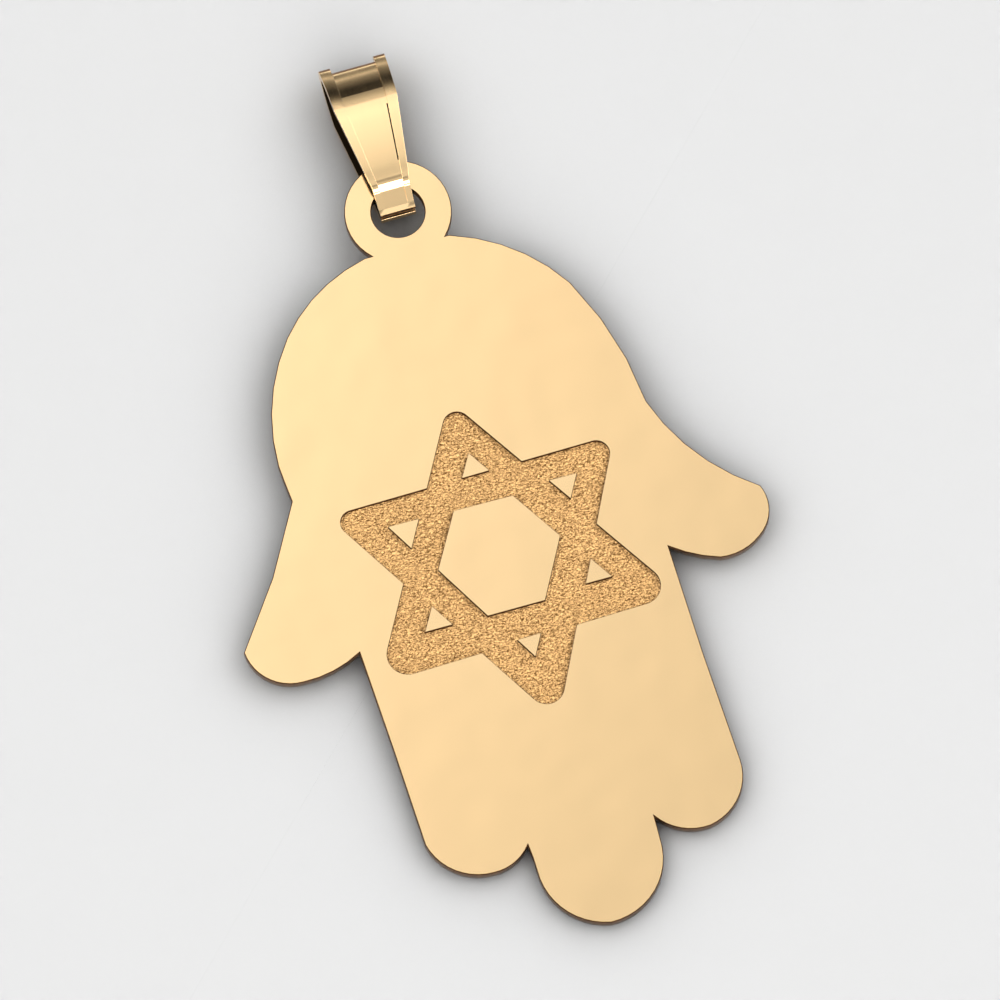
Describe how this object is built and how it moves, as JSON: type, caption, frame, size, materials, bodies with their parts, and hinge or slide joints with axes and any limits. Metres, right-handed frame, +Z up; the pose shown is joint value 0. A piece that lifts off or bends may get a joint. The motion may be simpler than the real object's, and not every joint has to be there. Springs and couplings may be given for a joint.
{
  "type": "hamsa pendant",
  "caption": "Flat gold hand-shaped pendant with a sunk six-pointed star on its face, hanging by a ring from a tapered folded bail.",
  "frame": {"origin": "centre of the footprint, on the table that the pendant lies on", "axes": "+X across the hand, towards the viewer's right; +Y from the fingertips to the bail; +Z up, out of the face with the star"},
  "size_m": [0.019, 0.0328, 0.0019],
  "materials": {
    "plate_gold": "polished 14-karat yellow gold, with a matte grainy floor in the star",
    "bail_gold": "polished 14-karat yellow gold"
  },
  "bodies": {
    "bail": {"bail": "bail_gold"},
    "plate": {"hamsa_plate": "plate_gold"}
  },
  "joints": [
    {"name": "plate_swing", "type": "hinge", "parent": "bail", "child": "plate", "pos_m": [0.00015, 0.01173, 0.00106], "axis": [-1, 0, 0], "range_deg": [0, 95]}
  ]
}
